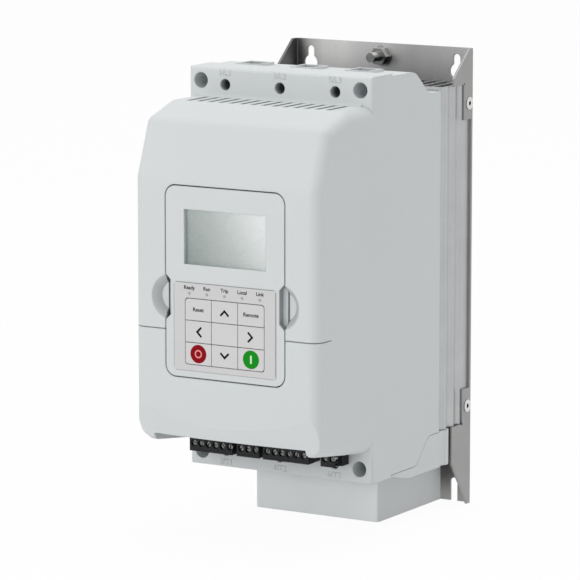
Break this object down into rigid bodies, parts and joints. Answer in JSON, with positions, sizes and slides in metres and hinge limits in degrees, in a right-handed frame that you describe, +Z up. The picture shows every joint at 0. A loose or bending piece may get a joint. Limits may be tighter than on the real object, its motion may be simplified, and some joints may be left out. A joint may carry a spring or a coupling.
{
  "type": "motor soft starter",
  "caption": "Wall-mounted motor soft starter: grey moulded housing with a hood, keypad and display, terminal ledges, heat sink, fan box and a steel back plate.",
  "frame": {"origin": "centre of the back plate's rear face, in the wall plane", "axes": "front is -Y, +X is the right-hand side seen from the front, +Z is up"},
  "size_m": [0.128, 0.1876, 0.2836],
  "materials": {
    "housing_grey": "fine moulded texture, light grey",
    "cover_grey": "fine moulded texture, light grey",
    "duct_grey": "fine moulded texture, light grey",
    "plate_steel": "zinc coated sheet steel",
    "sink_aluminium": "extruded, plain",
    "screw_steel": "zinc plated",
    "black_plastic": "moulded black",
    "dark_plastic": "moulded dark grey",
    "bar_copper": "plain copper",
    "post_brass": "turned",
    "board_green": "solder mask",
    "core_yellow": "taped winding",
    "can_blue": "sleeved can",
    "lens_clear": "clear window",
    "display_grey": "unlit display",
    "mat_rubber": "silicone mat",
    "overlay_grey": "printed film",
    "led_grey": "clouded light pipe"
  },
  "bodies": {
    "unit": {"main_housing": "housing_grey", "lower_cover": "cover_grey", "air_duct": "duct_grey", "fan_box": "duct_grey", "back_plate": "plate_steel", "heat_sink": "sink_aluminium", "plate_screws": "screw_steel", "earth_stud": "screw_steel", "earth_nut": "screw_steel", "housing_screws": "screw_steel", "fan_screws": "screw_steel", "module_screws": "screw_steel", "busbar_screws": "screw_steel", "clamp_screws": "screw_steel", "board_screws": "screw_steel", "terminal_screws": "screw_steel", "line_clamps": "screw_steel", "load_clamps": "screw_steel", "fan_guard": "screw_steel", "terminal_headers": "black_plastic", "terminal_plugs": "black_plastic", "fan_frame": "black_plastic", "thyristor_module_1": "black_plastic", "thyristor_module_2": "black_plastic", "thyristor_module_3": "black_plastic", "bypass_relays": "black_plastic", "hmi_socket": "black_plastic", "current_transformers": "dark_plastic", "line_busbar_1": "bar_copper", "line_busbar_2": "bar_copper", "line_busbar_3": "bar_copper", "load_busbar_1": "bar_copper", "load_busbar_2": "bar_copper", "load_busbar_3": "bar_copper", "board_posts": "post_brass", "control_posts": "post_brass", "power_board": "board_green", "control_board": "board_green", "supply_transformer": "core_yellow", "capacitors": "can_blue"},
    "keypad": {"hmi_bezel": "cover_grey", "hmi_back": "dark_plastic", "hmi_board": "board_green", "hmi_plug": "black_plastic", "lcd_lens": "lens_clear", "lcd_module": "display_grey", "key_mat": "mat_rubber", "keypad_overlay": "overlay_grey", "led_lenses": "led_grey", "key_blank": "overlay_grey"},
    "key_reset": {"key_reset": "overlay_grey"},
    "key_up": {"key_up": "overlay_grey"},
    "key_remote": {"key_remote": "overlay_grey"},
    "key_left": {"key_left": "overlay_grey"},
    "key_right": {"key_right": "overlay_grey"},
    "key_stop": {"key_stop": "overlay_grey"},
    "key_down": {"key_down": "overlay_grey"},
    "key_start": {"key_start": "overlay_grey"},
    "rotor": {"fan_rotor": "black_plastic"}
  },
  "joints": [
    {"name": "keypad_pull", "type": "slide", "parent": "unit", "child": "keypad", "axis": [0, -1, 0], "range_m": [0, 0.015]},
    {"name": "key_reset_press", "type": "slide", "parent": "keypad", "child": "key_reset", "axis": [0, 1, 0], "range_m": [0, 0.0008], "stiffness_N_per_m": 700},
    {"name": "key_up_press", "type": "slide", "parent": "keypad", "child": "key_up", "axis": [0, 1, 0], "range_m": [0, 0.0008], "stiffness_N_per_m": 700},
    {"name": "key_remote_press", "type": "slide", "parent": "keypad", "child": "key_remote", "axis": [0, 1, 0], "range_m": [0, 0.0008], "stiffness_N_per_m": 700},
    {"name": "key_left_press", "type": "slide", "parent": "keypad", "child": "key_left", "axis": [0, 1, 0], "range_m": [0, 0.0008], "stiffness_N_per_m": 700},
    {"name": "key_right_press", "type": "slide", "parent": "keypad", "child": "key_right", "axis": [0, 1, 0], "range_m": [0, 0.0008], "stiffness_N_per_m": 700},
    {"name": "key_stop_press", "type": "slide", "parent": "keypad", "child": "key_stop", "axis": [0, 1, 0], "range_m": [0, 0.0008], "stiffness_N_per_m": 700},
    {"name": "key_down_press", "type": "slide", "parent": "keypad", "child": "key_down", "axis": [0, 1, 0], "range_m": [0, 0.0008], "stiffness_N_per_m": 700},
    {"name": "key_start_press", "type": "slide", "parent": "keypad", "child": "key_start", "axis": [0, 1, 0], "range_m": [0, 0.0008], "stiffness_N_per_m": 700},
    {"name": "fan_spin", "type": "hinge", "parent": "unit", "child": "rotor", "pos_m": [0.00985, -0.0575, -0.124], "axis": [0, 0, 1], "continuous": true}
  ]
}
